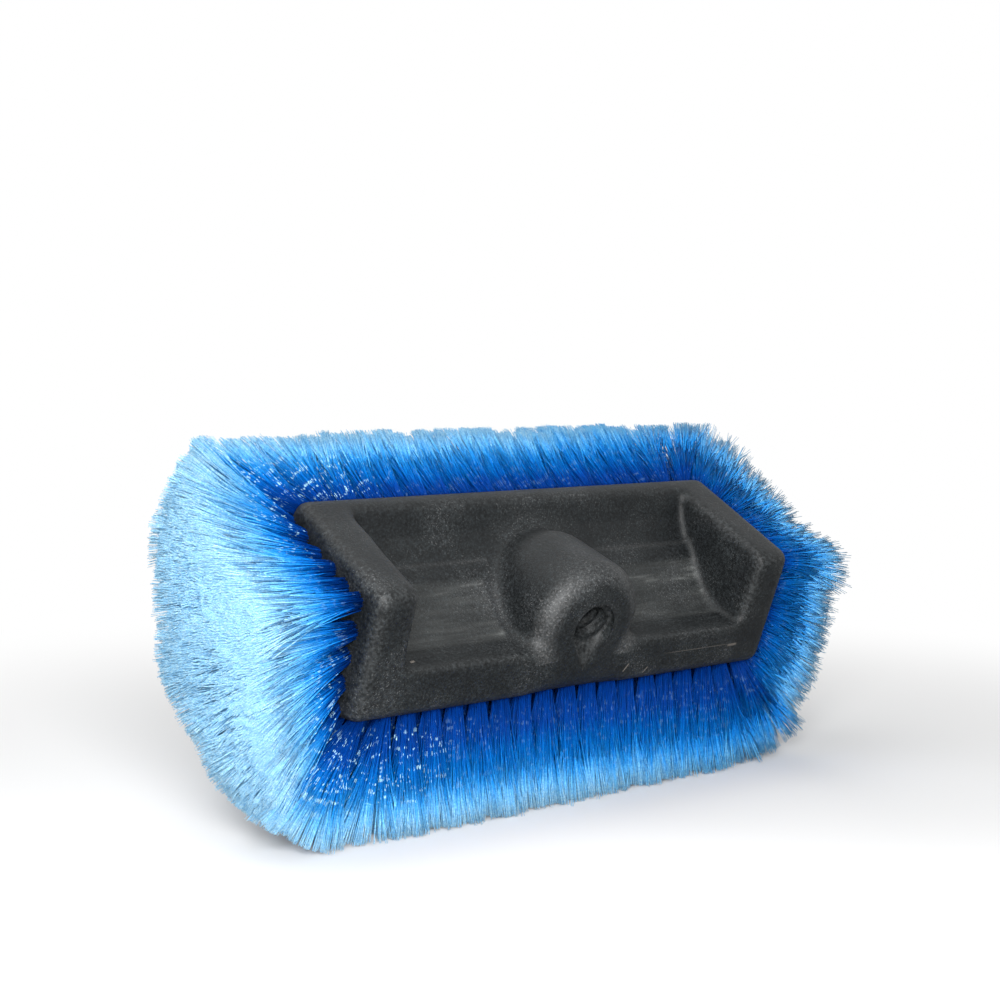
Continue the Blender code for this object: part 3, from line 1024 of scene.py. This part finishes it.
def bristleLook():
    # dark at the roots and pale at the tips, partly the split ends' own paleness and partly painted shade at
    # the roots and painted light at the tips, with painted glints on the crimps
    look, tree, shader = nodes("flaggedBristle")
    finish = bristleFinish
    where = attributeNode(tree, "along")
    tone = attributeNode(tree, "tone")
    strandPlace = tree.nodes.new("ShaderNodeAttribute")
    strandPlace.attribute_name = "strandPlace"
    own = tree.nodes.new("ShaderNodeCombineXYZ")
    link(tree, mathNode(tree, "MULTIPLY", tone, finish["fleckPlaces"]), own.inputs["X"])
    place = tree.nodes.new("ShaderNodeSeparateXYZ")
    link(tree, strandPlace.outputs["Vector"], place.inputs["Vector"])
    link(tree, mathNode(tree, "MULTIPLY", place.outputs["Y"], finish["fleckLength"]), own.inputs["Y"])
    fleck = noiseNode(tree, own.outputs["Vector"], 1, 1)
    shift = mathNode(tree, "MULTIPLY", mathNode(tree, "SUBTRACT", tone, 0.5), finish["shift"])
    colour = ramp(tree, mathNode(tree, "ADD", where, shift), finish["colours"])
    # random flecks along each bristle, the brightest of them painted sparkle
    colour = mixColour(tree, 1.0, colour, ramp(tree, fleck, finish["flecksAndSparkle"]), "MULTIPLY")
    # painted glints: pale dashes near the roots, as strong as the glint attribute lets them be
    wave = noiseNode(tree, strandPlace.outputs["Vector"], 1, 1, finish["glintStretch"])
    dash = ramp(tree, wave, greys(finish["glintDashes"]))
    nearRoot = ramp(tree, where, greys(finish["glintReach"]))
    share = mathNode(tree, "MULTIPLY", dash, nearRoot)
    share = mathNode(tree, "MULTIPLY", share, attributeNode(tree, "glint"))
    share = mathNode(tree, "MULTIPLY", share, finish["glint"])
    colour = mixColour(tree, share, colour, finish["glintColour"])
    link(tree, colour, shader.inputs["Base Color"])
    shader.inputs["Roughness"].default_value = finish["roughness"]
    shader.inputs["Specular IOR Level"].default_value = finish["specular"]
    return look


# Scratches on the lip: two ends in the block's axes, half the width and the strength
scratchDepth = 4
scratchEdge = 3.0
scratches = [
    ((28, -4.2, -48), (31, -7.6, -44.6), 0.35, 0.5),
    ((42, -2.4, -49.6), (45, -5, -47), 0.35, 0.4),
    ((53, -9.5, -43), (103, -9.5, -43), 0.18, 0.25),
    ((99, -9, -43.5), (106.5, -9, -43.2), 0.7, 0.35),
    ((-99, -12, -31), (-96, -12.5, -31), 0.3, 0.45),
]


def scratchMask(tree, where, start, end, width):
    # 1 in a strip from start to end, 0 elsewhere
    start, end = (blockPlace @ (Vector(point) * mm) for point in (start, end))
    way = end - start
    strip = tree.nodes.new("ShaderNodeMapping")
    strip.vector_type = "TEXTURE"
    strip.inputs["Location"].default_value = (start + end) / 2
    strip.inputs["Rotation"].default_value = way.to_track_quat("X", "Y").to_euler()
    strip.inputs["Scale"].default_value = (way.length / 2, width * mm, scratchDepth * mm)
    link(tree, where, strip.inputs["Vector"])
    parts = tree.nodes.new("ShaderNodeSeparateXYZ")
    link(tree, strip.outputs["Vector"], parts.inputs["Vector"])
    mask = None
    for axis in "XYZ":
        inside = mathNode(tree, "SUBTRACT", 1.0, mathNode(tree, "ABSOLUTE", parts.outputs[axis], 0.0))
        inside = mathNode(tree, "MAXIMUM", mathNode(tree, "MULTIPLY", inside, scratchEdge), 0.0)
        inside = mathNode(tree, "MINIMUM", inside, 1.0)
        mask = inside if mask is None else mathNode(tree, "MULTIPLY", mask, inside)
    return mask


plasticFinish = {
    "cloud": [(0.3, (0.006, 0.0075, 0.0085)), (0.5, (0.01, 0.012, 0.013)), (0.72, (0.019, 0.0215, 0.023))],
    "mottle": [(0.34, 0.42), (0.5, 0.85), (0.68, 1.5)],
    "mottleShare": 0.9,
    "grain": [(0.36, 0.55), (0.5, 0.95), (0.64, 1.5)],
    "worn": [(0.06, 0), (0.5, 0.01)],
    "wornMottle": [(0.35, 0.1), (0.65, 1.8)],
    "specks": [(0.63, 0), (0.7, 0.07)],
    "speckClouds": [(0.42, 0.15), (0.65, 1)],
    "panel": (0.016, 0.0165, 0.016),
    "streaks": [(0.45, 0.8), (0.62, 1.6), (0.72, 4.5)],
    "streakStretch": (0.22, 2.2, 2.2),
    "sparkle": [(0.3, 0.012), (0.5, 0.024), (0.62, 0.045), (0.72, 0.11)],
    "scratch": (0.26, 0.23, 0.2),
    "roughness": [(0.25, 0.42), (0.75, 0.64)],
    "specular": 0.24,
    "bump": 0.55,
    "bumpDepth": 0.4,
    # each pattern's scale and detail
    "clouds": (38, 6),
    "mottles": (600, 5),
    "grains": (1100, 3),
    "speckles": (1500, 1),
    "streaking": (110, 5),
    "sparkles": (900, 3),
}


def blockLook():
    # charcoal plastic: mottled, with fine specks and scuffs, paler on its worn edges, and a painted sheen on
    # its crests, along the ledge and round the boss's front edge
    look, tree, shader = nodes("mouldedPlastic")
    finish = plasticFinish
    where = tree.nodes.new("ShaderNodeTexCoord").outputs["Object"]
    cloud = noiseNode(tree, where, *finish["clouds"])
    mottle = noiseNode(tree, where, *finish["mottles"])
    grain = noiseNode(tree, where, *finish["grains"])
    speck = noiseNode(tree, where, *finish["speckles"])
    streak = noiseNode(tree, where, *finish["streaking"], finish["streakStretch"])
    sparkle = noiseNode(tree, where, *finish["sparkles"])

    def tinted(colour, value, stops):
        return mixColour(tree, 1.0, colour, ramp(tree, value, greys(stops)), "MULTIPLY")

    def masked(attribute, colour):
        return mixColour(tree, attributeNode(tree, attribute), (0, 0, 0), colour)

    mottled = ramp(tree, mottle, greys(finish["mottle"]))
    colour = mixColour(tree, finish["mottleShare"], ramp(tree, cloud, finish["cloud"]), mottled, "MULTIPLY")
    colour = tinted(colour, grain, finish["grain"])
    worn = ramp(tree, attributeNode(tree, "wear"), greys(finish["worn"]))
    dust = ramp(tree, speck, greys(finish["specks"]))
    for added in (
        tinted(worn, mottle, finish["wornMottle"]),
        tinted(dust, cloud, finish["speckClouds"]),
        masked("panel", tinted(finish["panel"], streak, finish["streaks"])),
        # painted sheen: a sparkling pale highlight painted along the ledge and round the boss's front edge
        masked("paintedSheen", ramp(tree, sparkle, greys(finish["sparkle"]))),
    ):
        colour = mixColour(tree, 1.0, colour, added, "ADD")
    for start, end, width, strength in scratches:
        mask = mathNode(tree, "MULTIPLY", scratchMask(tree, where, start, end, width), strength)
        colour = mixColour(tree, mask, colour, finish["scratch"])
    link(tree, colour, shader.inputs["Base Color"])
    link(tree, ramp(tree, mottle, greys(finish["roughness"])), shader.inputs["Roughness"])
    shader.inputs["Specular IOR Level"].default_value = finish["specular"]
    bump = tree.nodes.new("ShaderNodeBump")
    bump.inputs["Strength"].default_value = finish["bump"]
    bump.inputs["Distance"].default_value = finish["bumpDepth"] * mm
    link(tree, mixColour(tree, 0.5, grain, mottle), bump.inputs["Height"])
    link(tree, bump.outputs["Normal"], shader.inputs["Normal"])
    return look


# Metres, watts and degrees. A lamp has its name, place, size and power
studio = {
    "floorSize": 8,
    "floorSeen": (0.86, 0.86, 0.86),
    "floorBounce": (0.4, 0.4, 0.4),
    "floorRoughness": 0.9,
    "floorSpecular": 0.1,
    "shadowFade": (0.2, 0.6),
    "ambient": 0.23,
    "aim": (0, 0, 0.09),
    "lamps": [
        ("keyLamp", (-0.48, -0.6, 0.28), 0.35, 11),
        ("fillLamp", (0.9, -0.9, 0.7), 0.9, 0.2),
        ("topLamp", (-0.3, 0.2, 1.1), 0.9, 4.5),
        ("backLamp", (0.45, 1.0, 0.5), 0.9, 6),
    ],
    "lens": 60.404,
    "film": 36,
    "cameraPlace": (-0.52904, -0.60178, 0.10565),
    "cameraTurn": (85.413, -0.27, -39.686),
}


def makeStudio():
    world = bpy.data.worlds.new("studio")
    bpy.context.scene.world = world
    world.use_nodes = True
    tree = world.node_tree
    sky = tree.nodes["Background"]
    rays = tree.nodes.new("ShaderNodeLightPath")
    seen = mathNode(tree, "MAXIMUM", rays.outputs["Is Camera Ray"], rays.outputs["Is Glossy Ray"])
    seen = mathNode(tree, "MAXIMUM", seen, rays.outputs["Is Transmission Ray"])
    sky.inputs["Color"].default_value = (1, 1, 1, 1)
    strength = mathNode(tree, "MULTIPLY", seen, 1 - studio["ambient"])
    link(tree, mathNode(tree, "ADD", strength, studio["ambient"]), sky.inputs["Strength"])
    deselect()
    bpy.ops.mesh.primitive_plane_add(size=studio["floorSize"])
    floor = bpy.context.object
    floor.name = "studioFloor"
    look, tree, shader = nodes("paleFloor")
    shader.inputs["Roughness"].default_value = studio["floorRoughness"]
    shader.inputs["Specular IOR Level"].default_value = studio["floorSpecular"]
    glow = tree.nodes.new("ShaderNodeEmission")
    rays = tree.nodes.new("ShaderNodeLightPath")
    # the camera sees a white floor, which throws little of its light back up at the brush
    shade = mixColour(tree, rays.outputs["Is Camera Ray"], studio["floorBounce"], studio["floorSeen"])
    link(tree, shade, shader.inputs["Base Color"])
    away = tree.nodes.new("ShaderNodeVectorMath")
    away.operation = "LENGTH"
    link(tree, tree.nodes.new("ShaderNodeTexCoord").outputs["Object"], away.inputs[0])
    far = tree.nodes.new("ShaderNodeMapRange")
    far.interpolation_type = "SMOOTHSTEP"
    for socket, value in zip(("From Min", "From Max"), studio["shadowFade"]):
        far.inputs[socket].default_value = value
    link(tree, away.outputs["Value"], far.inputs["Value"])
    share = mathNode(tree, "MULTIPLY", far.outputs["Result"], rays.outputs["Is Camera Ray"])
    mixed = tree.nodes.new("ShaderNodeMixShader")
    link(tree, share, mixed.inputs[0])
    link(tree, shader.outputs[0], mixed.inputs[1])
    link(tree, glow.outputs[0], mixed.inputs[2])
    link(tree, mixed.outputs[0], tree.nodes["Material Output"].inputs["Surface"])
    floor.data.materials.append(look)
    for name, place, size, power in studio["lamps"]:
        lamp = bpy.data.lights.new(name, "AREA")
        lamp.size = size
        lamp.energy = power
        made = bpy.data.objects.new(name, lamp)
        bpy.context.scene.collection.objects.link(made)
        made.location = place
        made.rotation_euler = (Vector(studio["aim"]) - Vector(place)).to_track_quat("-Z", "Y").to_euler()


def makeCamera():
    lens = bpy.data.cameras.new("camera")
    lens.lens = studio["lens"]
    lens.sensor_width = studio["film"]
    camera = bpy.data.objects.new("camera", lens)
    bpy.context.scene.collection.objects.link(camera)
    camera.location = Vector(studio["cameraPlace"]) + blockPlace.translation
    camera.rotation_euler = [math.radians(angle) for angle in studio["cameraTurn"]]
    bpy.context.scene.camera = camera


makeCamera()
makeStudio()
bpy.context.scene.view_settings.view_transform = "Standard"
print("studio done")

plastic = blockLook()
brushBlock = makeBlock()
brushBlock.data.materials.clear()
brushBlock.data.materials.append(plastic)
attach(brushBlock, "root")
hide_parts("block")

blue = bristleLook()
strand = makeFilament()
generator = np.random.default_rng(bristles["seed"])
for rowName, (tufts, faceNormal, fan) in rowTufts().items():
    row = makeRow(rowName + "_filaments", tufts, faceNormal, fan, strand, generator)
    row.data.materials.append(blue)
    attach(row, "root")
    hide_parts(rowName)
bpy.data.objects.remove(strand)
print("bristles done")
